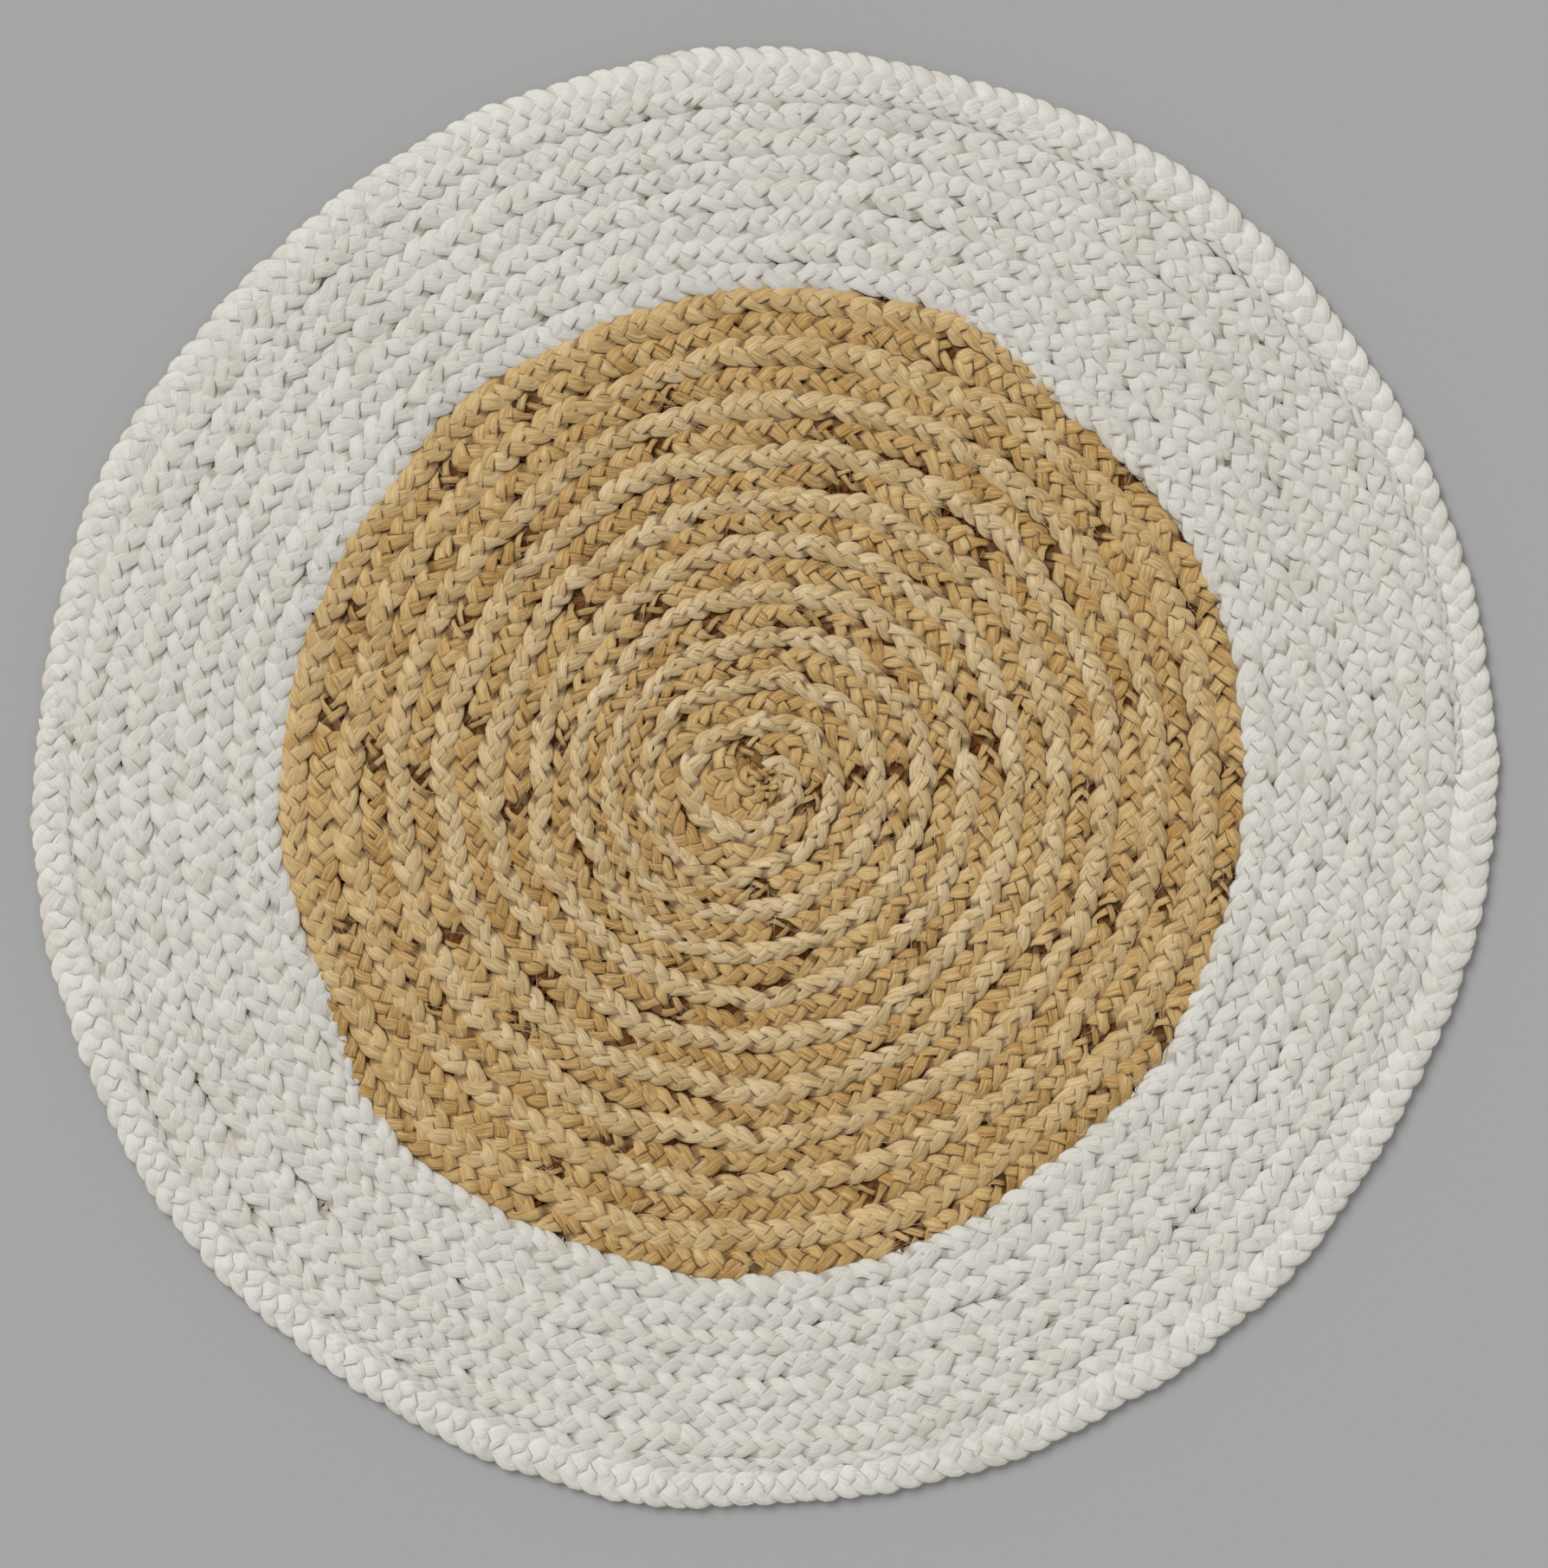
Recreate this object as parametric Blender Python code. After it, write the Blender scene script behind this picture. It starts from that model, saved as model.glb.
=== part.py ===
"""Round braided rug: two three-strand jute plaits wound outwards together and sewn.

Metres, +Z up. The rug lies flat on z = 0 with its centre on the Z axis. Seen from
above the plaits run outwards clockwise from START_ANGLE. A raised plait and a sunken
plait take turns, each changes from natural to white jute at its own colour join, and
one turn of edging plait closes the rim.
"""
import math

import bmesh
import bpy

# ---- driving sizes -------------------------------------------------------------------
RUG_RADIUS = 0.450        # centre to the outside of the edging
EDGING_WIDTH = 0.0213     # radial width of the edging plait
EDGING_HEIGHT = 0.0100
RAISED_HEIGHT = 0.0092    # the raised plait stands proud of its neighbours
SUNKEN_HEIGHT = 0.0074
CORE_HEIGHT = 0.0080

START_RADIUS = 0.0107     # centre line of the raised plait where it starts
NATURAL_PITCH = 0.0253    # one raised and one sunken plait, near the centre
PITCH_GROWTH = 0.00054    # the pair gets this much wider with each turn
WIDE_TURN = 9.0           # from this turn on the pair keeps WHITE_PITCH
WHITE_PITCH = 0.0327

RAISED_JOIN_TURN = 10 + 3 / 36    # where the raised plait changes colour
SUNKEN_JOIN_TURN = 10 + 24 / 36   # where the sunken plait changes colour
JOIN_LENGTH = 0.012       # bound length of each colour join
START_ANGLE = 90.0        # degrees, counted anticlockwise from +X
EDGING_JOIN_ANGLE = 175.0
EDGING_JOIN_LENGTH = 0.014
WHIPPING_LENGTH = 0.008   # thread bound round each tapered end
TAPER_END_WIDTH = 0.0030  # a plait is bound off once it is drawn this narrow

SEAM_GAP = 0.0003         # clearance between touching pieces
FOOT_INSET = 0.0012       # each plait is narrower where it meets the floor
THREAD_WIDTH = 0.0014
THREAD_BOTTOM = 0.0004
THREAD_TOP = 0.0017

STEPS_PER_TURN = 36       # straight lengths in one turn of a plait
EDGING_STEPS = 2 * STEPS_PER_TURN

# ---- colours, as sRGB values -----------------------------------------------------------
NATURAL_RAISED = (0.78, 0.69, 0.54)
NATURAL_SUNKEN = (0.69, 0.56, 0.36)
WHITE_RAISED = (0.83, 0.81, 0.77)
WHITE_SUNKEN = (0.77, 0.76, 0.73)
EDGING_WHITE = (0.85, 0.83, 0.79)
NATURAL_THREAD = (0.62, 0.50, 0.33)
WHITE_THREAD = (0.80, 0.78, 0.73)

# ---- values worked out from the driving sizes ------------------------------------------
FIELD_RADIUS = RUG_RADIUS - EDGING_WIDTH     # the spiral is closed by this circle
HALF_ROW = 0.25                              # half a plait's width, in turns
SUNKEN_LAG = 0.5                             # the sunken plait starts half a turn later


def row_radius(turn):
    """Radius of a row's centre line, `turn` turns out from the start."""
    inner = min(turn, WIDE_TURN)
    radius = START_RADIUS + NATURAL_PITCH * inner + PITCH_GROWTH * inner * inner / 2
    return radius + WHITE_PITCH * max(turn - WIDE_TURN, 0.0)


def turn_at_radius(radius):
    """Turn at which the wide rows reach `radius`."""
    return WIDE_TURN + (radius - row_radius(WIDE_TURN)) / WHITE_PITCH


def row_edges(turn):
    """Inner and outer edge of a row, cut off by the circle inside the edging."""
    inner = min(row_radius(turn - HALF_ROW), FIELD_RADIUS)
    outer = min(row_radius(turn + HALF_ROW), FIELD_RADIUS)
    return inner + SEAM_GAP / 2, outer - SEAM_GAP / 2


def point(radius, turn, height):
    """World point at `radius`, `turn` turns clockwise from the start angle."""
    angle = math.radians(START_ANGLE) - 2 * math.pi * turn
    return (radius * math.cos(angle), radius * math.sin(angle), height)


def turns_between(first, last, steps):
    """Both ends and every whole step between, so that neighbours share their corners."""
    stations = [first]
    whole = math.floor(first * steps + 1e-6) + 1
    while whole / steps < last - 1e-6:
        stations.append(whole / steps)
        whole += 1
    stations.append(last)
    return stations


def section_at(corners_at, turn, steps):
    """Cross-section at `turn`, on the straight length between its two whole steps."""
    step = math.floor(turn * steps + 1e-6)
    share = turn * steps - step
    near = [point(radius, step / steps, height) for radius, height in corners_at(step / steps)]
    if share < 1e-6:
        return near
    following = (step + 1) / steps
    far = [point(radius, following, height) for radius, height in corners_at(following)]
    return [tuple(a + (b - a) * share for a, b in zip(p, q)) for p, q in zip(near, far)]


def material(name, colour, roughness):
    """Matt fibre finish in an sRGB colour."""
    linear = [c / 12.92 if c <= 0.04045 else ((c + 0.055) / 1.055) ** 2.4 for c in colour]
    finish = bpy.data.materials.new(name)
    finish.use_nodes = True
    shader = finish.node_tree.nodes["Principled BSDF"]
    shader.inputs["Base Color"].default_value = (*linear, 1.0)
    shader.inputs["Roughness"].default_value = roughness
    shader.inputs["Metallic"].default_value = 0.0
    return finish


def add_object(name, shape, colour, roughness=0.9):
    """Close a bmesh into a named object with its own material."""
    bmesh.ops.recalc_face_normals(shape, faces=shape.faces)
    mesh = bpy.data.meshes.new(name)
    shape.to_mesh(mesh)
    shape.free()
    mesh.materials.append(material(name + "_finish", colour, roughness))
    piece = bpy.data.objects.new(name, mesh)
    bpy.context.collection.objects.link(piece)
    return piece


def sweep(name, profiles, colour):
    """Solid through a list of cross-sections that all have the same number of points."""
    shape = bmesh.new()
    rings = [[shape.verts.new(corner) for corner in profile] for profile in profiles]
    sides = len(rings[0])
    for ring, following in zip(rings, rings[1:]):
        for side in range(sides):
            after = (side + 1) % sides
            shape.faces.new((ring[side], ring[after], following[after], following[side]))
    shape.faces.new(rings[0])
    shape.faces.new(rings[-1])
    return add_object(name, shape, colour)


def band_corners(inner, outer, height):
    """Four corners of a plait: wide and flat on top, set in at the foot."""
    inner_inset = min(FOOT_INSET, (outer - inner - FOOT_INSET) / 2)
    return [(inner + inner_inset, 0.0), (outer - FOOT_INSET, 0.0), (outer, height), (inner, height)]


def thread_corners(radius):
    """Three corners of a seam thread in the groove between two feet."""
    return [(radius - THREAD_WIDTH / 2, THREAD_BOTTOM),
            (radius + THREAD_WIDTH / 2, THREAD_BOTTOM),
            (radius, THREAD_TOP)]


def many_sided(radius, turn):
    """Radius at `turn` of a ring whose sides match the plaits' straight lengths."""
    half_side = math.pi / STEPS_PER_TURN
    from_middle = ((turn * STEPS_PER_TURN + 1e-6) % 1.0 - 0.5) * 2 * half_side
    return radius * math.cos(half_side) / math.cos(from_middle)


def length_in_turns(length, radius):
    """Share of a turn that `length` takes up at `radius`."""
    return length / (2 * math.pi * radius)


def run(name, corners_at, first, last, steps, colour):
    """Solid from turn `first` to turn `last` with the corners that `corners_at` gives."""
    stations = turns_between(first, last, steps)
    sweep(name, [section_at(corners_at, turn, steps) for turn in stations], colour)


def build_plait_run(word, lag, join_turn, height, natural_colour, white_colour):
    """Natural length, colour join, white length, whipped end and seam of one plait."""
    def plait_corners(turn):
        return band_corners(*row_edges(turn - lag), height)

    def seam_corners(turn):
        return thread_corners(row_radius(turn - lag + HALF_ROW))

    start = lag + length_in_turns(SEAM_GAP, row_radius(-HALF_ROW))
    join_radius = row_radius(join_turn - lag)
    half_join = length_in_turns(JOIN_LENGTH, join_radius) / 2
    join_gap = length_in_turns(SEAM_GAP, join_radius)
    taper_turn = turn_at_radius(FIELD_RADIUS - TAPER_END_WIDTH) + HALF_ROW + lag
    whipping_turn = taper_turn + length_in_turns(SEAM_GAP, FIELD_RADIUS)
    whipping_end = whipping_turn + length_in_turns(WHIPPING_LENGTH, FIELD_RADIUS)
    # the seam stops short of the edging seam, where the two grooves run together
    seam_end_radius = FIELD_RADIUS - 3 * FOOT_INSET - 2 * SEAM_GAP
    seam_end = turn_at_radius(seam_end_radius) - HALF_ROW + lag
    seam_start = lag + 1 / STEPS_PER_TURN
    lengths = [
        ("natural_" + word + "_plait", plait_corners,
         start, join_turn - half_join - join_gap, natural_colour),
        (word + "_colour_join", plait_corners,
         join_turn - half_join, join_turn + half_join, NATURAL_THREAD),
        ("white_" + word + "_plait", plait_corners,
         join_turn + half_join + join_gap, taper_turn, white_colour),
        (word + "_end_whipping", plait_corners, whipping_turn, whipping_end, WHITE_THREAD),
        ("natural_" + word + "_seam_thread", seam_corners,
         seam_start, join_turn - join_gap, NATURAL_THREAD),
        ("white_" + word + "_seam_thread", seam_corners,
         join_turn + join_gap, seam_end, WHITE_THREAD),
    ]
    for name, corners_at, first, last, colour in lengths:
        run(name, corners_at, first, last, STEPS_PER_TURN, colour)


def build_core():
    """Folded start of both plaits, filling the space inside their first half turns."""
    shape = bmesh.new()
    outline = []
    for step in range(STEPS_PER_TURN):
        turn = step / STEPS_PER_TURN
        if step == 0:
            outline.append((row_radius(SUNKEN_LAG - HALF_ROW), turn))
        if step == STEPS_PER_TURN // 2:
            outline.append((row_radius(SUNKEN_LAG - HALF_ROW), turn))
        lag = 0.0 if turn < SUNKEN_LAG else SUNKEN_LAG
        outline.append((row_radius(turn - lag - HALF_ROW), turn))
    floor_ring = []
    top_ring = []
    for radius, turn in outline:
        foot_radius = radius - SEAM_GAP - FOOT_INSET
        floor_ring.append(shape.verts.new(point(foot_radius, turn, 0.0)))
        top_ring.append(shape.verts.new(point(radius - SEAM_GAP, turn, CORE_HEIGHT)))
    count = len(outline)
    shape.faces.new(floor_ring)
    shape.faces.new(top_ring)
    for corner in range(count):
        after = (corner + 1) % count
        shape.faces.new((floor_ring[corner], floor_ring[after],
                         top_ring[after], top_ring[corner]))
    return add_object("centre_start", shape, NATURAL_SUNKEN)


def build_edging():
    """One turn of edging plait, its sewn overlap and its seam thread."""
    def edging_corners(turn):
        inner = many_sided(FIELD_RADIUS, turn) + SEAM_GAP / 2
        return band_corners(inner, RUG_RADIUS, EDGING_HEIGHT)

    def seam_corners(turn):
        return thread_corners(many_sided(FIELD_RADIUS, turn))

    middle = (START_ANGLE - EDGING_JOIN_ANGLE) / 360.0
    half_join = length_in_turns(EDGING_JOIN_LENGTH, FIELD_RADIUS) / 2
    gap = length_in_turns(SEAM_GAP, FIELD_RADIUS)
    run("edging_plait", edging_corners, middle + half_join + gap,
        middle + 1 - half_join - gap, EDGING_STEPS, EDGING_WHITE)
    run("edging_join", edging_corners, middle - half_join, middle + half_join,
        EDGING_STEPS, WHITE_THREAD)
    run("edging_seam_thread", seam_corners, middle + gap, middle + 1 - gap,
        EDGING_STEPS, WHITE_THREAD)


for leftover in list(bpy.data.objects):
    bpy.data.objects.remove(leftover)

build_core()
build_plait_run("raised", 0.0, RAISED_JOIN_TURN, RAISED_HEIGHT,
                NATURAL_RAISED, WHITE_RAISED)
build_plait_run("sunken", SUNKEN_LAG, SUNKEN_JOIN_TURN, SUNKEN_HEIGHT,
                NATURAL_SUNKEN, WHITE_SUNKEN)
build_edging()
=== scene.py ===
import math
import random

import bpy
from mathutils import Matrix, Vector


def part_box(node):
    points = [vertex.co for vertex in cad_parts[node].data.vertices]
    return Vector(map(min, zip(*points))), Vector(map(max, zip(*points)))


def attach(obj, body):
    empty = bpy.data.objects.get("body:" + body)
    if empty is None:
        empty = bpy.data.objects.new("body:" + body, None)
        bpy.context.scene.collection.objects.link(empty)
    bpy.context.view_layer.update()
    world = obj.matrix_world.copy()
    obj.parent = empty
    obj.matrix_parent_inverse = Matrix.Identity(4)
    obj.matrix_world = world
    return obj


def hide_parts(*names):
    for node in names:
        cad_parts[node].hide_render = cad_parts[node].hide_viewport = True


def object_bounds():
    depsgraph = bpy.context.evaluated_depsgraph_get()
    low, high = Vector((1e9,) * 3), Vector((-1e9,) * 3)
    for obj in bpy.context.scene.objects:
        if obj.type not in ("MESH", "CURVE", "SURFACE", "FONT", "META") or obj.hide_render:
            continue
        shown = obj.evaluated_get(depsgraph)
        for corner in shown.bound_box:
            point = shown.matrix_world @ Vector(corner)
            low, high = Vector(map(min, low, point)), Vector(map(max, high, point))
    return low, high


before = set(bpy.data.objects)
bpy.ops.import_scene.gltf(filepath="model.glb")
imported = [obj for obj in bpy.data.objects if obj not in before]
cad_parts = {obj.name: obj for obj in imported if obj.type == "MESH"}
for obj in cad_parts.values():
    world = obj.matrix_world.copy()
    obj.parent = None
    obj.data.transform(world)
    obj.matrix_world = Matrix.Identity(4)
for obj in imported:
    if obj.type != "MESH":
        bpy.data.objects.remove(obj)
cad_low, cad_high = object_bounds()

# ---- Natural raised plait -------------------------------------------------------------
# Three flat bundles of golden-brown jute plaited over and under each other. The plait
# winds outwards clockwise from the middle and stands proud of the rows on both sides;
# its jute is coloured paler and greyer than the rest.

RUG_RADIUS = cad_high.x
HALF_THREAD = 0.0007
FIELD_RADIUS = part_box("edging_seam_thread")[1].x - HALF_THREAD
START_RADIUS = 0.0107
NATURAL_PITCH = 0.0253
PITCH_GROWTH = 0.00054
WIDE_TURN = 9.0
WHITE_PITCH = 0.0327
RAISED_JOIN_TURN = 10 + 3 / 36
HALF_ROW = 0.25           # half a row's width, in turns
SPLICE = 0.036            # turns over which natural and white jute run past each other
SPLICE_SHIFT = 0.30       # how far a row moves aside there, as a share of its width
SPLICE_NARROWING = 0.62
STATIONS_PER_TURN = 120
FEWEST_STATIONS = 24

OVAL = 0.0048
OVAL_DIRECTION = math.radians(41)
LEAN = 0.0028
LEAN_DIRECTION = math.radians(102)
SLACK = 0.0032
SLACK_RADIUS = 0.30
BULGE = 0.019
BULGE_RADIUS = 0.048
BULGE_DIRECTION = math.radians(192)


def row_radius(turn):
    """Radius of a row's centre line, `turn` turns out from the start."""
    inner = min(turn, WIDE_TURN)
    radius = START_RADIUS + NATURAL_PITCH * inner + PITCH_GROWTH * inner * inner / 2
    return radius + WHITE_PITCH * max(turn - WIDE_TURN, 0.0)


def hand_shape(radius, angle):
    """How far hand sewing has pulled a place off the true circle."""
    oval = OVAL * math.cos(2 * (angle - OVAL_DIRECTION)) * min(radius / SLACK_RADIUS, 1.0)
    lean = LEAN * math.cos(angle - LEAN_DIRECTION) * max(radius - 0.25, 0.0) / 0.20
    if radius < SLACK_RADIUS:
        slack = SLACK * radius / SLACK_RADIUS
    else:
        slack = SLACK * max(FIELD_RADIUS - radius, 0.0) / (FIELD_RADIUS - SLACK_RADIUS)
    ripple = 0.0011 * math.sin(7 * angle + 60 * radius) + 0.0009 * math.sin(11 * angle - 35 * radius)
    bulge = BULGE * math.exp(-((radius - BULGE_RADIUS) / BULGE_RADIUS) ** 2)
    bulge = bulge * max(math.cos(angle - BULGE_DIRECTION), 0.0) ** 1.3 * min(radius / 0.014, 1.0)
    return oval + lean + slack + bulge + ripple * min(radius / 0.1, 1.0)


def path_curve(name, stations):
    """Poly curve through (radius, turn, height, width), with the width as its point radius.

    Where the rows are pulled apart they are wider, and where they are pressed together they
    are narrower."""
    curve = bpy.data.curves.new(name, "CURVE")
    curve.dimensions = "3D"
    spline = curve.splines.new("POLY")
    spline.points.add(len(stations) - 1)
    for spot, (radius, turn, height, width) in zip(spline.points, stations):
        angle = math.radians(90) - 2 * math.pi * turn
        reach = radius + hand_shape(radius, angle)
        spot.co = (reach * math.cos(angle), reach * math.sin(angle), height, 1.0)
        room = hand_shape(radius + 0.005, angle) - hand_shape(max(radius - 0.005, 0.0), angle)
        spot.radius = width * min(max(1.0 + room / 0.010, 0.85), 1.7)
    path = bpy.data.objects.new(name, curve)
    bpy.context.collection.objects.link(path)
    return path


def row_stations(first, last, lag, spread_in, spread_out, splice_in=0.0, splice_out=0.0):
    """Stations along one row of the spiral; the spreads widen it over its neighbours.

    Over `splice_in` turns at its start and `splice_out` turns at its end the row runs out
    slantwise, so that the next one can begin beside it."""
    count = max(int((last - first) * STATIONS_PER_TURN), FEWEST_STATIONS)
    stations = []
    for step in range(count + 1):
        turn = first + (last - first) * step / count
        inner = min(row_radius(turn - lag - HALF_ROW), FIELD_RADIUS)
        outer = min(row_radius(turn - lag + HALF_ROW), FIELD_RADIUS)
        width = (outer - inner) * (spread_in + (spread_out - spread_in) * step / count)
        starting = max(1.0 - (turn - first) / splice_in, 0.0) if splice_in else 0.0
        ending = max(1.0 - (last - turn) / splice_out, 0.0) if splice_out else 0.0
        middle = (inner + outer) / 2 + width * SPLICE_SHIFT * (starting - ending)
        narrowed = width * (1.0 - SPLICE_NARROWING * (starting + ending))
        stations.append((middle, turn, 0.0, narrowed))
    return stations


class Flow:
    """A value that runs through a node tree and can be used in ordinary sums."""

    def __init__(self, socket):
        self.socket = socket

    def step(self, operation, *others):
        node = self.socket.id_data.nodes.new("ShaderNodeMath")
        node.operation = operation
        for place, value in zip(node.inputs, (self, *others)):
            feed(value, place)
        return Flow(node.outputs[0])

    def __add__(self, other):
        return self.step("ADD", other)

    def __sub__(self, other):
        return self.step("SUBTRACT", other)

    def __mul__(self, other):
        return self.step("MULTIPLY", other)

    def __truediv__(self, other):
        return self.step("DIVIDE", other)

    def sine(self):
        return self.step("SINE")

    def cosine(self):
        return self.step("COSINE")


def feed(value, place):
    """Link a flow into a socket, or set a plain value on it."""
    if isinstance(value, Flow):
        value.socket.id_data.links.new(value.socket, place)
    else:
        place.default_value = value


def node(tree, kind, inputs=None, output=0, **settings):
    """Add a node, set it, feed its inputs and give back one output as a flow."""
    made = tree.nodes.new(kind)
    for setting, value in settings.items():
        setattr(made, setting, value)
    for place, value in (inputs or {}).items():
        feed(value, made.inputs[place])
    return Flow(made.outputs[output])


def arrows(tree, operation, first, second, output=0):
    """One step of vector maths; a plain number in second place scales."""
    places = {0: first, 3: second} if operation == "SCALE" else {0: first, 1: second}
    return node(tree, "ShaderNodeVectorMath", places, output, operation=operation)


def new_tree(name, sizes, counts=()):
    """Geometry tree with a curve in, a mesh out and named size and count inputs."""
    tree = bpy.data.node_groups.new(name, "GeometryNodeTree")
    tree.interface.new_socket("Geometry", in_out="INPUT", socket_type="NodeSocketGeometry")
    for size in sizes:
        tree.interface.new_socket(size, in_out="INPUT", socket_type="NodeSocketFloat")
    for count in counts:
        tree.interface.new_socket(count, in_out="INPUT", socket_type="NodeSocketInt")
    tree.interface.new_socket("Finish", in_out="INPUT", socket_type="NodeSocketMaterial")
    tree.interface.new_socket("Geometry", in_out="OUTPUT", socket_type="NodeSocketGeometry")
    entry = tree.nodes.new("NodeGroupInput")
    return tree, {socket.name: Flow(socket) for socket in entry.outputs if socket.name}


def close_tree(tree, geometry, finish):
    """End a tree with real geometry in one finish."""
    real = node(tree, "GeometryNodeRealizeInstances", {0: geometry})
    smooth = node(tree, "GeometryNodeSetShadeSmooth", {0: real})
    finished = node(tree, "GeometryNodeSetMaterial", {0: smooth, "Material": finish})
    leave = tree.nodes.new("NodeGroupOutput")
    feed(finished, leave.inputs[0])


def grow(name, host, tree, sizes, finish, body="root"):
    """Run a tree on a host object, keep the result as a plain mesh and ride it on a body."""
    growth = host.modifiers.new("growth", "NODES")
    growth.node_group = tree
    for socket in tree.interface.items_tree:
        if socket.in_out == "INPUT" and socket.name in sizes:
            growth[socket.identifier] = sizes[socket.name]
        if socket.in_out == "INPUT" and socket.name == "Finish":
            growth[socket.identifier] = finish
    bpy.context.view_layer.update()
    depsgraph = bpy.context.evaluated_depsgraph_get()
    mesh = bpy.data.meshes.new_from_object(host.evaluated_get(depsgraph), depsgraph=depsgraph)
    mesh.name = name
    piece = bpy.data.objects.new(name, mesh)
    bpy.context.collection.objects.link(piece)
    host.modifiers.remove(growth)
    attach(piece, body)
    return piece


def plait_strand_tree():
    """A strand that sways across its row's path and goes over and under its partners."""
    tree, size = new_tree("plait strand", [
        "Strand share", "Pad spacing", "Ring spacing", "Sway", "Width share", "Top height",
        "Lift", "Upper half", "Lower half", "Shingle", "Crown", "Direction", "Unevenness",
        "Thin places", "Turn sharpness", "Seed"], ["Sides"])
    path = size["Geometry"]
    length = node(tree, "GeometryNodeCurveLength", {0: path})
    tube = tree.nodes.new("GeometryNodeMeshCylinder")
    tube.inputs["Radius"].default_value = 1.0
    tube.inputs["Depth"].default_value = 1.0
    feed(size["Sides"], tube.inputs["Vertices"])
    feed(length / size["Ring spacing"], tube.inputs["Side Segments"])
    spot = node(tree, "GeometryNodeInputPosition")
    parts = tree.nodes.new("ShaderNodeSeparateXYZ")
    feed(spot, parts.inputs[0])
    across = Flow(parts.outputs[0])
    upward = Flow(parts.outputs[1])
    travel = (Flow(parts.outputs[2]) + 0.5) * length
    width_here = node(tree, "GeometryNodeInputRadius")
    sample = tree.nodes.new("GeometryNodeSampleCurve")
    sample.mode = "LENGTH"
    sample.use_all_curves = True
    feed(path, sample.inputs["Curves"])
    feed(width_here, sample.inputs["Value"])
    feed(travel, sample.inputs["Length"])
    row_width = Flow(sample.outputs[0])
    centre = Flow(sample.outputs[1])
    heading = Flow(sample.outputs[2])

    def wander(scale, offset, amount):
        """Smooth noise along the strand, between minus and plus half of `amount`."""
        noise = node(tree, "ShaderNodeTexNoise", {
            "W": travel * scale + size["Seed"] * 7.31 + offset, "Scale": 1.0, "Detail": 1.0},
            noise_dimensions="1D")
        return (noise - 0.5) * size["Unevenness"] * amount

    # where on its swing the strand is; a thin place lets the gap below show
    cycle = size["Pad spacing"] * 3.0
    phase = (travel / cycle + size["Strand share"]) * (2 * math.pi) + wander(11.0, 3.0, 2.4)
    thin = node(tree, "ShaderNodeTexNoise", {
        "W": travel * 30.0 + size["Seed"].step("FLOOR") * 5.7, "Scale": 1.0, "Detail": 0.0},
        noise_dimensions="1D")
    thin = node(tree, "ShaderNodeMapRange", {0: thin, 1: 0.69, 2: 0.76, 3: 0.0, 4: 1.0})
    thin = thin * size["Thin places"]
    # the swing to and fro, and the rise and fall over and under the partners
    sway = row_width * size["Sway"] * (wander(40.0, 17.0, 0.45) + 1.0)
    rise = (phase * 2.0).sine() * size["Direction"]
    half_width = row_width * size["Width share"] * (wander(70.0, 29.0, 0.9) + 1.0)
    half_width = half_width * (thin * -0.5 + 1.0)
    sharpness = size["Turn sharpness"]
    wave = (phase.sine() - (phase * 3.0).sine() * sharpness) / (sharpness + 1.0)
    drift = node(tree, "ShaderNodeTexNoise", {
        "W": travel * 13.0 + size["Seed"].step("FLOOR") * 9.1, "Scale": 1.0, "Detail": 1.0},
        noise_dimensions="1D")
    drift = (drift - 0.5) * size["Unevenness"] * row_width * 0.30
    sideways = wave * sway + wander(14.0, 41.0, 0.0022) + drift
    slope = (phase.cosine() - (phase * 3.0).cosine() * sharpness * 3.0) / (sharpness + 1.0)
    slope = slope * sway * (2 * math.pi) / cycle
    # the cross-section: flat on top, a little wider at the foot, uneven along its length
    lump = node(tree, "ShaderNodeTexNoise", {
        "Vector": node(tree, "ShaderNodeCombineXYZ", {
            0: across * 1.6, 1: upward * 0.8, 2: travel * 110.0 + size["Seed"] * 3.7}),
        "Scale": 1.0, "Detail": 2.0})
    fullness = (lump - 0.5) * size["Unevenness"] * 0.45 + 1.0
    outwards = arrows(tree, "CROSS_PRODUCT", (0.0, 0.0, 1.0), heading)
    athwart = arrows(tree, "NORMALIZE", arrows(
        tree, "SUBTRACT", outwards, arrows(tree, "SCALE", heading, slope)), (0, 0, 0))
    foot = upward.step("MINIMUM", 0.0) * -0.20 + 1.0
    reach = across * (upward * upward * 0.33 + 1.0) * foot * half_width * fullness
    above = upward.step("MAXIMUM", 0.0) * size["Upper half"]
    below = upward.step("MINIMUM", 0.0) * size["Lower half"]
    thick = (above + below) * fullness * (wander(33.0, 71.0, 0.5) + 1.0)
    shingle = across * phase.cosine() * size["Direction"] * size["Shingle"] * -1.0
    # the height, lower towards the sides of the row and never below the floor
    height = rise * size["Lift"] * (wander(47.0, 53.0, 0.30) + 1.0) + thick + shingle
    offset = (sideways - drift + reach) / (row_width * 0.5)
    crown = (offset * offset).step("MINIMUM", 1.3) * size["Crown"] * -1.0 + 1.0
    middle = size["Top height"] - size["Lift"] - size["Upper half"]
    height = (middle + height) * crown + wander(20.0, 61.0, 0.0012) - thin * 0.0016
    height = height.step("MAXIMUM", rise * 0.0002 + 0.0005)
    place = arrows(tree, "ADD", centre, arrows(tree, "SCALE", outwards, sideways))
    place = arrows(tree, "ADD", place, arrows(tree, "SCALE", athwart, reach))
    place = arrows(tree, "ADD", place, node(tree, "ShaderNodeCombineXYZ", {2: height}))
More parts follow.
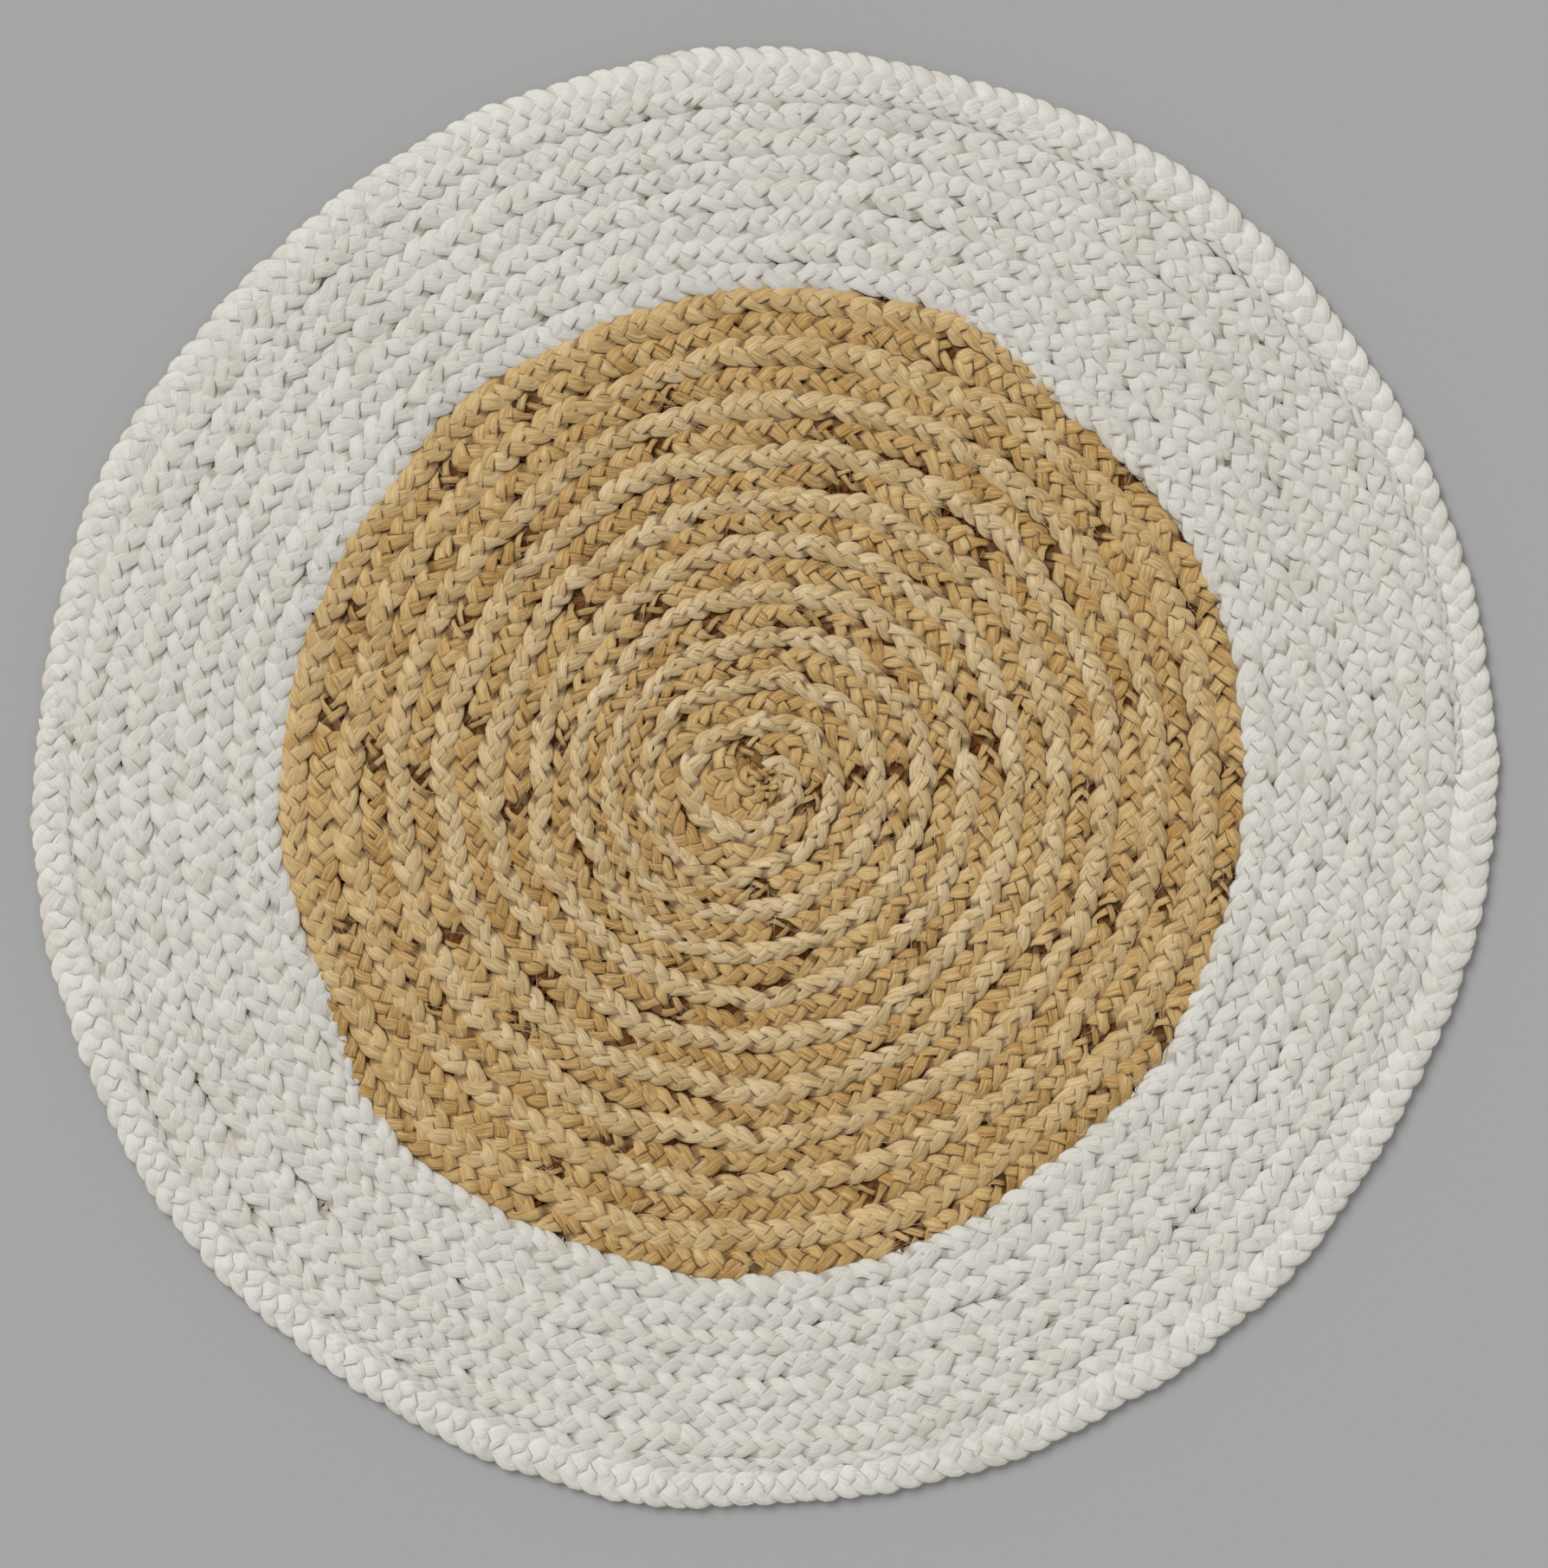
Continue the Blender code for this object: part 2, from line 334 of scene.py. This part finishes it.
    # what the finish reads: fibre direction, a random tone for each pad, and the flanks and the parts
    # lying under other strands, which it darkens with painted shade
    sheet = tree.nodes.new("ShaderNodeSeparateXYZ")
    feed(Flow(tube.outputs["UV Map"]), sheet.inputs[0])
    fibre = node(tree, "ShaderNodeCombineXYZ", {
        0: Flow(sheet.outputs[0]) * 0.022, 1: (Flow(sheet.outputs[1]) - 0.5) * length * 2.0})
    pad = node(tree, "ShaderNodeTexWhiteNoise", {
        "W": (phase / math.pi + 0.25).step("FLOOR") + size["Seed"] * 13.7}, noise_dimensions="1D")
    # flank (the strand's sides) and facing (low where the strand runs under another or is thin) mark
    # where the finish paints shade
    flank = upward.step("ABSOLUTE") * -1.0 + 1.0
    facing = rise * upward.step("SIGN") - thin * 0.8
    marked = Flow(tube.outputs["Mesh"])
    for label, value, kind, domain in (("fibre_uv", fibre, "FLOAT2", "CORNER"),
                                       ("pad_shade", pad, "FLOAT", "FACE"),
                                       ("pad_flank", flank, "FLOAT", "POINT"),
                                       ("pad_facing", facing, "FLOAT", "POINT")):
        store = tree.nodes.new("GeometryNodeStoreNamedAttribute")
        store.data_type = kind
        store.domain = domain
        feed(marked, store.inputs["Geometry"])
        store.inputs["Name"].default_value = label
        feed(value, store.inputs["Value"])
        marked = Flow(store.outputs[0])
    shaped = node(tree, "GeometryNodeSetPosition", {0: marked, "Position": place})
    close_tree(tree, shaped, size["Finish"])
    return tree


def linear(colour):
    """Linear value of an sRGB colour."""
    return tuple(c / 12.92 if c <= 0.04045 else ((c + 0.055) / 1.055) ** 2.4 for c in colour) + (1.0,)


def blend(tree, share, first, second, kind="MIX"):
    """Mix of two colours in a material tree."""
    made = tree.nodes.new("ShaderNodeMix")
    made.data_type = "RGBA"
    made.blend_type = kind
    feed(share, made.inputs["Factor"])
    feed(first, made.inputs["A"])
    feed(second, made.inputs["B"])
    return Flow(made.outputs["Result"])


def ramp(tree, share, stops):
    """Colour ramp with (place, colour) stops."""
    made = tree.nodes.new("ShaderNodeValToRGB")
    feed(share, made.inputs[0])
    elements = made.color_ramp.elements
    while len(elements) < len(stops):
        elements.new(0.5)
    for element, (place, colour) in zip(elements, stops):
        element.position = place
        element.color = colour
    return Flow(made.outputs[0])


def jute(name, dark, middle, light, crevice_shade, contrast=1.0, gap=0.42, specks=None, outer=None):
    """Matt jute: fibre streaks along the strand, each pad its own tone, and painted shade on the
    flanks that line the crevices and on parts lying under other strands.
    """
    finish = bpy.data.materials.new(name)
    finish.use_nodes = True
    tree = finish.node_tree
    shader = tree.nodes["Principled BSDF"]
    uv = node(tree, "ShaderNodeUVMap", uv_map="fibre_uv")
    place = node(tree, "ShaderNodeTexCoord", output=3)
    pad = node(tree, "ShaderNodeAttribute", output=2, attribute_name="pad_shade")
    flank = node(tree, "ShaderNodeAttribute", output=2, attribute_name="pad_flank")
    facing = node(tree, "ShaderNodeAttribute", output=2, attribute_name="pad_facing")
    strands = node(tree, "ShaderNodeTexNoise", {
        "Vector": node(tree, "ShaderNodeMapping", {0: uv, 1: (0, 0, 0), 3: (1100.0, 60.0, 1.0)}),
        "Scale": 1.0, "Detail": 3.0, "Roughness": 0.6, "Distortion": 0.3})
    hairs = node(tree, "ShaderNodeTexNoise", {
        "Vector": node(tree, "ShaderNodeMapping", {0: uv, 1: (0, 0, 0), 3: (4200.0, 120.0, 1.0)}),
        "Scale": 1.0, "Detail": 2.0, "Roughness": 0.6})
    patches = node(tree, "ShaderNodeTexNoise", {"Vector": place, "Scale": 9.0, "Detail": 3.0})
    mottle = node(tree, "ShaderNodeTexNoise", {"Vector": place, "Scale": 130.0, "Detail": 2.0})
    shade = (strands - 0.5) * (1.3 * contrast) + (hairs - 0.5) * (0.8 * contrast)
    shade = shade + (pad - 0.5) * 0.3 + (patches - 0.5) * 0.4 + (mottle - 0.5) * 0.3 + 0.5
    colour = ramp(tree, shade, ((0.15, linear(dark)), (0.5, linear(middle)), (0.85, linear(light))))
    if outer:
        far = node(tree, "ShaderNodeVectorMath", {0: place}, 1, operation="LENGTH")
        faded = node(tree, "ShaderNodeMapRange", {
            0: far + (patches - 0.5) * 0.35, 1: 0.18, 2: 0.30, 3: 0.0, 4: 0.7})
        colour = blend(tree, faded, colour, blend(tree, 1.0, colour, linear(outer), "MULTIPLY"))
    # painted shade: strand flanks, and parts under other strands or in thin places, are mixed towards
    # the dark colour given for the crevices, standing in for the shade between pads
    flank_shade = node(tree, "ShaderNodeMapRange", {
        0: flank + (mottle - 0.5) * 0.4, 1: gap, 2: gap + 0.48, 3: 0.0, 4: 0.9})
    buried_shade = node(tree, "ShaderNodeMapRange", {0: facing, 1: -0.50, 2: -1.0, 3: 0.0, 4: 0.75})
    colour = blend(tree, flank_shade.step("MAXIMUM", buried_shade), colour, linear(crevice_shade))
    if specks:
        dots = node(tree, "ShaderNodeTexNoise", {"Vector": place, "Scale": 420.0, "Detail": 1.0})
        spots = node(tree, "ShaderNodeMapRange", {0: dots, 1: 0.79, 2: 0.81, 3: 0.0, 4: 0.9})
        colour = blend(tree, spots, colour, linear(specks))
        cloud = node(tree, "ShaderNodeTexNoise", {"Vector": place, "Scale": 26.0, "Detail": 3.0})
        stains = node(tree, "ShaderNodeMapRange", {0: cloud, 1: 0.64, 2: 0.80, 3: 0.0, 4: 0.55})
        colour = blend(tree, stains, colour, linear((0.72, 0.68, 0.57)))
    feed(colour, shader.inputs["Base Color"])
    shader.inputs["Roughness"].default_value = 0.82
    shader.inputs["Specular IOR Level"].default_value = 0.25
    bump = node(tree, "ShaderNodeBump", {
        "Height": strands * 0.7 + hairs * 0.3, "Strength": 0.8, "Distance": 0.0011})
    feed(bump, shader.inputs["Normal"])
    return finish


PLAIT_TREE = plait_strand_tree()


def plait(word, stations, finish, nodes, spacing, top, lift, thick, shingle, sway, width,
          depth=0.0028, crown=0.2, direction=1.0, unevenness=1.0, thin_places=0.0,
          sharpness=0.08, seed=1, rings=16):
    """Three strands along one path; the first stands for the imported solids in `nodes`."""
    path = path_curve(word + "_path", stations)
    for strand in range(3):
        piece = grow(word + "_strand_" + "abc"[strand], path, PLAIT_TREE, {
            "Strand share": strand / 3, "Pad spacing": spacing,
            "Ring spacing": spacing * 3 / rings, "Sway": sway, "Width share": width,
            "Top height": top, "Lift": lift, "Upper half": thick, "Lower half": depth,
            "Shingle": shingle, "Crown": crown, "Direction": direction,
            "Unevenness": unevenness, "Thin places": thin_places,
            "Turn sharpness": sharpness, "Seed": seed + strand * 0.37, "Sides": 10}, finish)
        if strand == 0 and nodes:
            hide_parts(*nodes)
    bpy.data.objects.remove(path)


# a paler, greyer colouring than the sunken plait's golden jute
PALE_NATURAL_JUTE = jute("pale_natural_jute", (0.72, 0.59, 0.38), (0.84, 0.735, 0.55),
                   (0.91, 0.83, 0.68), (0.34, 0.175, 0.04), 1.2, gap=0.32, outer=(0.96, 0.91, 0.80))
plait("natural_raised",
      row_stations(0.0, RAISED_JOIN_TURN + SPLICE / 2, 0.0, 1.16, 1.34, 0.0, SPLICE),
      PALE_NATURAL_JUTE, ["natural_raised_plait"], spacing=0.0126,
      top=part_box("natural_raised_plait")[1].z, lift=0.0012, thick=0.0011, shingle=0.0009,
      sway=0.255, width=0.23, depth=0.0064, crown=0.36, unevenness=1.3, seed=1)

# ---- Natural sunken plait -------------------------------------------------------------
# The second jute plait of the same bundles, pulled down between two raised rows by the
# sewing. It keeps its golden colour, its pads are shorter and squarer, and the gaps
# between them show dark, partly from their real depth and partly from painted shade
# on the strands' flanks, under-parts and thin places.

SUNKEN_LAG = 0.5
SUNKEN_JOIN_TURN = 10 + 24 / 36
GOLDEN_JUTE = jute("golden_natural_jute", (0.66, 0.49, 0.26), (0.80, 0.655, 0.425),
                   (0.88, 0.77, 0.56), (0.27, 0.12, 0.02), 1.2, gap=0.25)
plait("natural_sunken",
      row_stations(SUNKEN_LAG, SUNKEN_JOIN_TURN + SPLICE / 2, SUNKEN_LAG, 1.54, 1.46, 0.0, SPLICE),
      GOLDEN_JUTE, ["natural_sunken_plait"], spacing=0.0120,
      top=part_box("natural_sunken_plait")[1].z, lift=0.0012, thick=0.0010, shingle=0.0009,
      sway=0.29, width=0.192, depth=0.0048, crown=0.42, unevenness=1.4, thin_places=1.0, seed=2)

# ---- White raised and sunken plaits ----------------------------------------------------
# The same two plaits carry on in bleached jute, a little wider. Both taper and are
# bound off where the spiral meets the edging.

FIELD_TURN = WIDE_TURN + (FIELD_RADIUS - row_radius(WIDE_TURN)) / WHITE_PITCH
TAPER_TURN = FIELD_TURN + HALF_ROW - 0.005 / WHITE_PITCH
SPECK_BROWN = (0.66, 0.42, 0.12)
WHITE_JUTE = jute("bleached_jute", (0.81, 0.79, 0.74), (0.875, 0.86, 0.82),
                  (0.905, 0.895, 0.87), (0.64, 0.60, 0.53), 0.7, specks=SPECK_BROWN)
GREY_WHITE_JUTE = jute("bleached_jute_sunken", (0.80, 0.785, 0.745), (0.87, 0.855, 0.825),
                       (0.90, 0.89, 0.865), (0.62, 0.58, 0.51), 0.7, specks=SPECK_BROWN)
plait("white_raised",
      row_stations(RAISED_JOIN_TURN - SPLICE / 2, TAPER_TURN, 0.0, 1.30, 1.30, SPLICE),
      WHITE_JUTE, ["white_raised_plait"], spacing=0.0136,
      top=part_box("white_raised_plait")[1].z, lift=0.0010, thick=0.0010, shingle=0.0006,
      sway=0.26, width=0.245, depth=0.0066, crown=0.16, unevenness=1.15, seed=3)
plait("white_sunken", row_stations(
    SUNKEN_JOIN_TURN - SPLICE / 2, TAPER_TURN + SUNKEN_LAG, SUNKEN_LAG, 1.38, 1.38, SPLICE),
      GREY_WHITE_JUTE, ["white_sunken_plait"], spacing=0.0134,
      top=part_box("white_sunken_plait")[1].z + 0.0012, lift=0.0010, thick=0.0010, shingle=0.0006,
      sway=0.27, width=0.242, depth=0.0060, crown=0.19, unevenness=1.15, seed=4)

# ---- Edging plait ---------------------------------------------------------------------
# One turn of bleached plait sewn round the rim the other way round, so that its pads
# point against the rest.

EDGING_WIDTH = RUG_RADIUS - FIELD_RADIUS
EDGING_MIDDLE = 0.32      # centre line, as a share of the edging's width
EDGING_SPREAD = 1.26      # the edging laps over the rows inside it
EDGING_JOIN_TURN = (90.0 - 175.0) / 360.0
EDGING_JUTE = jute("edging_bleached_jute", (0.83, 0.81, 0.765), (0.895, 0.88, 0.845),
                   (0.92, 0.91, 0.885), (0.72, 0.69, 0.62), 0.7, specks=SPECK_BROWN)
edging_stations = []
for step in range(361):
    edging_stations.append((FIELD_RADIUS + EDGING_WIDTH * EDGING_MIDDLE,
                            EDGING_JOIN_TURN + step / 360, 0.0, EDGING_WIDTH * EDGING_SPREAD))
plait("edging", edging_stations, EDGING_JUTE, ["edging_plait"],
      spacing=0.0130, top=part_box("edging_plait")[1].z - 0.0005, lift=0.0012, thick=0.0012,
      shingle=0.0008, sway=0.262, width=0.238, depth=0.0066, crown=0.15, direction=-1.0,
      unevenness=0.6, sharpness=0.0, seed=5)

# ---- Centre start -----------------------------------------------------------------------
# The first ends of both plaits, folded over one another and curled up tightly in the
# middle. The curl is loose and uneven, and a folded layer under it shows in the hollow
# beside it, its jute darkened with painted shade for the hollow.

CURL_FIRST_TURN = -0.95
CURL_TURNS = 1.42
CURL_INNER_RADIUS = 0.0026
CURL_GROWTH = 0.0074
CURL_WIDTH = 0.0112
curl_stations = []
for step in range(73):
    turn = CURL_FIRST_TURN + CURL_TURNS * step / 72
    curl_stations.append((CURL_INNER_RADIUS + CURL_GROWTH * step / 72, turn, 0.0, CURL_WIDTH))
plait("centre_start", curl_stations, GOLDEN_JUTE, ["centre_start"],
      spacing=0.0085, top=0.0080, lift=0.0015, thick=0.0010, shingle=0.0005, sway=0.28,
      width=0.17, depth=0.0050, crown=0.2, unevenness=1.8, thin_places=0.6, seed=6, rings=24)

UNDERFOLD_RADIUS = 0.0095
UNDERFOLD_WIDTH = 0.022
underfold_stations = []
for step in range(61):
    underfold_stations.append((UNDERFOLD_RADIUS, step / 60, 0.0, UNDERFOLD_WIDTH))
# painted shade: the underfold's jute is coloured darker for the hollow it lies in
HOLLOW_JUTE = jute("shaded_natural_jute", (0.44, 0.29, 0.12), (0.58, 0.43, 0.23),
                   (0.70, 0.56, 0.35), (0.26, 0.12, 0.03))
plait("centre_underfold", underfold_stations, HOLLOW_JUTE, [], spacing=0.0075,
      top=0.0046, lift=0.0009, thick=0.0008, shingle=0.0004, sway=0.26, width=0.20, depth=0.0028,
      crown=0.1, unevenness=1.6, seed=10, rings=24)

# ---- Colour joins -------------------------------------------------------------------------
# Where each plait changes to bleached jute the two kinds run past each other slantwise,
# and the tails of both, mixed together, are sewn down along the slant.

LAP_LENGTH = 0.044
LAP_WIDTH = 0.45          # as a share of the row's width


def lap_stations(turn, lag):
    """A short thin stretch of row that crosses slantwise from its outer to its inner side."""
    half = LAP_LENGTH / 2 / (2 * math.pi * row_radius(turn - lag))
    stations = []
    for step in range(25):
        share = step / 24
        here = turn - half + 2 * half * share
        width = row_radius(here - lag + HALF_ROW) - row_radius(here - lag - HALF_ROW)
        slant = width * SPLICE_SHIFT * (1.0 - 2.0 * share)
        stations.append((row_radius(here - lag) + slant, here, 0.0, width * LAP_WIDTH))
    return stations


MIXED_JUTE = jute("mixed_jute", (0.76, 0.68, 0.53), (0.86, 0.80, 0.68), (0.90, 0.87, 0.80),
                  (0.62, 0.52, 0.36))
plait("raised_colour_join", lap_stations(RAISED_JOIN_TURN, 0.0), MIXED_JUTE,
      ["raised_colour_join"], spacing=0.0110,
      top=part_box("white_raised_plait")[1].z - 0.0012, lift=0.0010, thick=0.0008,
      shingle=0.0004, sway=0.25, width=0.24, seed=7)
plait("sunken_colour_join", lap_stations(SUNKEN_JOIN_TURN, SUNKEN_LAG), MIXED_JUTE,
      ["sunken_colour_join"], spacing=0.0110,
      top=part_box("white_sunken_plait")[1].z - 0.0004, lift=0.0010, thick=0.0008,
      shingle=0.0004, sway=0.25, width=0.24, seed=8)

# ---- End whippings --------------------------------------------------------------------------
# White thread bound tightly round the tapered end of each plait, tucked in against the
# edging.

BINDING_ROUNDS = 7
BINDING_STEPS = 16
BINDING_PITCH = 0.0010
BINDING_HALF_WIDTH = 0.0019
BINDING_HALF_HEIGHT = 0.0022
BINDING_MIDDLE_HEIGHT = 0.0030
BINDING_THREAD_RADIUS = 0.00052


def round_thread_tree():
    """Round thread along every line of the host curve, as thick as its point radius."""
    tree, size = new_tree("round thread", [], ["Sides"])
    ring = node(tree, "GeometryNodeCurvePrimitiveCircle", {"Resolution": size["Sides"], "Radius": 1.0})
    sweep = tree.nodes.new("GeometryNodeCurveToMesh")
    feed(size["Geometry"], sweep.inputs["Curve"])
    feed(ring, sweep.inputs["Profile Curve"])
    feed(node(tree, "GeometryNodeInputRadius"), sweep.inputs["Scale"])
    sweep.inputs["Fill Caps"].default_value = True
    close_tree(tree, Flow(sweep.outputs[0]), size["Finish"])
    return tree


def thread_curve(name, lines):
    """Poly curve with one line per list of (x, y, z, radius) points."""
    curve = bpy.data.curves.new(name, "CURVE")
    curve.dimensions = "3D"
    for line in lines:
        spline = curve.splines.new("POLY")
        spline.points.add(len(line) - 1)
        for spot, (x, y, z, radius) in zip(spline.points, line):
            spot.co = (x, y, z, 1.0)
            spot.radius = radius
    path = bpy.data.objects.new(name, curve)
    bpy.context.collection.objects.link(path)
    return path


def plain_thread(name, dark, light):
    """Matt thread with a faint twist of two shades."""
    finish = bpy.data.materials.new(name)
    finish.use_nodes = True
    tree = finish.node_tree
    shader = tree.nodes["Principled BSDF"]
    place = node(tree, "ShaderNodeTexCoord", output=3)
    mottle = node(tree, "ShaderNodeTexNoise", {"Vector": place, "Scale": 600.0, "Detail": 2.0})
    colour = ramp(tree, mottle, ((0.35, linear(dark)), (0.65, linear(light))))
    feed(colour, shader.inputs["Base Color"])
    shader.inputs["Roughness"].default_value = 0.85
    shader.inputs["Specular IOR Level"].default_value = 0.25
    return finish


THREAD_TREE = round_thread_tree()
WHITE_THREAD = plain_thread("white_thread", (0.70, 0.67, 0.60), (0.88, 0.86, 0.81))
for word in ("raised", "sunken"):
    low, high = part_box(word + "_end_whipping")
    middle = (low + high) / 2
    around = math.atan2(middle.y, middle.x)
    out_way = Vector((math.cos(around), math.sin(around), 0))
    long_way = Vector((-math.sin(around), math.cos(around), 0))
    reach = middle.xy.length + hand_shape(middle.xy.length, around)
    coil = []
    for step in range(BINDING_ROUNDS * BINDING_STEPS + 1):
        turned = 2 * math.pi * step / BINDING_STEPS
        spot = out_way * (reach + BINDING_HALF_WIDTH * math.cos(turned))
        spot = spot + long_way * (BINDING_PITCH * (step / BINDING_STEPS - BINDING_ROUNDS / 2))
        height = BINDING_MIDDLE_HEIGHT + BINDING_HALF_HEIGHT * math.sin(turned)
        coil.append((spot.x, spot.y, height, BINDING_THREAD_RADIUS))
    path = thread_curve(word + "_whipping_path", [coil])
    piece = grow(word + "_whipping", path, THREAD_TREE, {"Sides": 8}, WHITE_THREAD)
    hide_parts(word + "_end_whipping")
    bpy.data.objects.remove(path)

# ---- Edging join --------------------------------------------------------------------------
# The two ends of the edging plait overlap for a thumb's width and make a small lump in
# the outline.

EDGING_LAP = 0.030
join_stations = []
for step in range(25):
    turn = EDGING_JOIN_TURN + (step / 24 - 0.5) * EDGING_LAP / (2 * math.pi * RUG_RADIUS)
    bulk = 0.62 + 0.38 * math.sin(math.pi * step / 24)
    join_stations.append((FIELD_RADIUS + EDGING_WIDTH * 0.42, turn, 0.0, EDGING_WIDTH * bulk))
plait("edging_join", join_stations, EDGING_JUTE, ["edging_join"],
      spacing=0.0115, top=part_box("edging_plait")[1].z + 0.0006, lift=0.0013, thick=0.0014,
      shingle=0.0005, sway=0.20, width=0.28, depth=0.0040, crown=0.3, direction=-1.0,
      unevenness=0.6, seed=9)

# ---- Seam threads ---------------------------------------------------------------------------
# One sewing thread beside every plait, going to and fro low down between two rows and
# holding them together. The plaits hide it except in the deepest gaps. Under the natural
# plaits its dark brown is partly the thread's own colour and partly painted shade,
# standing in for the deep shade in those gaps.

# dark brown thread: partly its own colour, partly painted shade for the deep gaps
BROWN_THREAD_AND_SHADE = plain_thread("brown_thread_and_painted_shade", (0.36, 0.19, 0.06), (0.50, 0.30, 0.12))
SHADE_THREAD = plain_thread("shaded_white_thread", (0.76, 0.72, 0.65), (0.88, 0.85, 0.80))


def seam(word, stations, finish, top=0.0028):
    """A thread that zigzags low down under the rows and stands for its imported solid."""
    path = path_curve(word + "_path", stations)
    piece = grow(word, path, PLAIT_TREE, {
        "Strand share": 0.0, "Pad spacing": 0.0017, "Ring spacing": 0.00085, "Sway": 0.64,
        "Width share": 0.13, "Top height": top, "Lift": 0.0001, "Upper half": 0.0007,
        "Lower half": 0.0004, "Shingle": 0.0, "Crown": 0.0, "Direction": 1.0,
        "Unevenness": 0.6, "Thin places": 0.0, "Turn sharpness": 0.08, "Seed": 11.0,
        "Sides": 5}, finish)
    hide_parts(word)
    bpy.data.objects.remove(path)


seam("natural_raised_seam_thread", row_stations(0.0, RAISED_JOIN_TURN, 0.0, 1.0, 1.0), BROWN_THREAD_AND_SHADE)
seam("natural_sunken_seam_thread", row_stations(SUNKEN_LAG, SUNKEN_JOIN_TURN, SUNKEN_LAG, 1.0, 1.0),
     BROWN_THREAD_AND_SHADE)
seam("white_raised_seam_thread", row_stations(RAISED_JOIN_TURN, TAPER_TURN, 0.0, 1.0, 1.0),
     SHADE_THREAD, 0.0040)
seam("white_sunken_seam_thread",
     row_stations(SUNKEN_JOIN_TURN, TAPER_TURN + SUNKEN_LAG, SUNKEN_LAG, 1.0, 1.0), SHADE_THREAD,
     0.0040)
EDGING_SEAM_WIDTH = 0.012
edge_stations = []
for step in range(361):
    edge_stations.append((FIELD_RADIUS, EDGING_JOIN_TURN + step / 360, 0.0, EDGING_SEAM_WIDTH))
seam("edging_seam_thread", edge_stations, SHADE_THREAD, 0.0045)

# ---- Loose fibres -----------------------------------------------------------------------------
# Fine broken fibres stick out of the plaits all over, most of them over the natural part.

FIBRE_STEPS = 6
dice = random.Random(12)


def loose_fibres(name, count, inner, outer, finish, thickness, shortest, longest):
    """Short curved fibres lying on the rows between two radii."""
    lines = []
    for fibre in range(count):
        radius = math.sqrt(dice.uniform(inner ** 2, outer ** 2))
        angle = dice.uniform(0, 2 * math.pi)
        heading = angle - math.pi / 2 + dice.gauss(0.0, 0.7)
        bend = dice.gauss(0.0, 55.0)
        length = dice.uniform(shortest, longest)
        base = dice.uniform(0.0078, 0.0092)
        reach = radius + hand_shape(radius, angle)
        x = reach * math.cos(angle)
        y = reach * math.sin(angle)
        line = []
        for step in range(FIBRE_STEPS + 1):
            share = step / FIBRE_STEPS
            z = base + 0.0012 * math.sin(math.pi * share) + 0.0004 * dice.random()
            line.append((x, y, z, thickness * (1.0 - 0.6 * share)))
            x = x + math.cos(heading) * length / FIBRE_STEPS
            y = y + math.sin(heading) * length / FIBRE_STEPS
            heading = heading + bend * length / FIBRE_STEPS
        lines.append(line)
    path = thread_curve(name + "_path", lines)
    piece = grow(name, path, THREAD_TREE, {"Sides": 3}, finish)
    bpy.data.objects.remove(path)


PALE_FIBRE = plain_thread("pale_fibre", (0.80, 0.70, 0.52), (0.94, 0.88, 0.74))
WHITE_FIBRE = plain_thread("white_fibre", (0.86, 0.84, 0.79), (0.96, 0.95, 0.92))
JOIN_RADIUS = row_radius(RAISED_JOIN_TURN)
loose_fibres("natural_loose_fibres", 2600, 0.005, JOIN_RADIUS, PALE_FIBRE,
             0.00020, 0.004, 0.014)
loose_fibres("white_loose_fibres", 700, JOIN_RADIUS, 0.440, WHITE_FIBRE,
             0.00018, 0.005, 0.016)

# ---- Floor, light and camera ------------------------------------------------------------
# Plain pale floor and soft studio light, looked at from straight above. The view takes
# in a little more than the rug's width.

VIEW_WIDTH = 0.952
VIEW_SHAPE = 1811 / 1788  # height over width
CAMERA_HEIGHT = 2.6
SENSOR_WIDTH = 36.0
FLOOR_REACH = 6.0
FLOOR_GREY = (0.42, 0.42, 0.42, 1.0)

floor_mesh = bpy.data.meshes.new("floor")
floor_corners = [(-FLOOR_REACH, -FLOOR_REACH, 0), (FLOOR_REACH, -FLOOR_REACH, 0),
                 (FLOOR_REACH, FLOOR_REACH, 0), (-FLOOR_REACH, FLOOR_REACH, 0)]
floor_mesh.from_pydata(floor_corners, [], [(0, 1, 2, 3)])
floor = bpy.data.objects.new("floor", floor_mesh)
bpy.context.collection.objects.link(floor)
floor_finish = bpy.data.materials.new("floor_finish")
floor_finish.use_nodes = True
floor_shader = floor_finish.node_tree.nodes["Principled BSDF"]
floor_shader.inputs["Base Color"].default_value = FLOOR_GREY
floor_shader.inputs["Roughness"].default_value = 0.9
floor_mesh.materials.append(floor_finish)

sky = bpy.data.worlds.new("studio")
sky.use_nodes = True
sky_light = sky.node_tree.nodes["Background"]
sky_light.inputs["Color"].default_value = (1, 1, 1, 1)
sky_light.inputs["Strength"].default_value = 0.5
bpy.context.scene.world = sky

lamp_data = bpy.data.lights.new("window_light", "SUN")
lamp_data.angle = math.radians(35)
lamp_data.energy = 1.6
lamp = bpy.data.objects.new("window_light", lamp_data)
lamp.location = (-1.3, 1.5, 2.2)
lamp.rotation_euler = (-lamp.location).to_track_quat("-Z", "Y").to_euler()
bpy.context.collection.objects.link(lamp)

camera_data = bpy.data.cameras.new("camera")
camera_data.sensor_width = SENSOR_WIDTH
camera_data.lens = SENSOR_WIDTH * CAMERA_HEIGHT / (VIEW_WIDTH * VIEW_SHAPE)
camera = bpy.data.objects.new("camera", camera_data)
camera.location = (0.0059, -0.0008, CAMERA_HEIGHT)
bpy.context.collection.objects.link(camera)
bpy.context.scene.camera = camera
bpy.context.scene.view_settings.view_transform = "Standard"
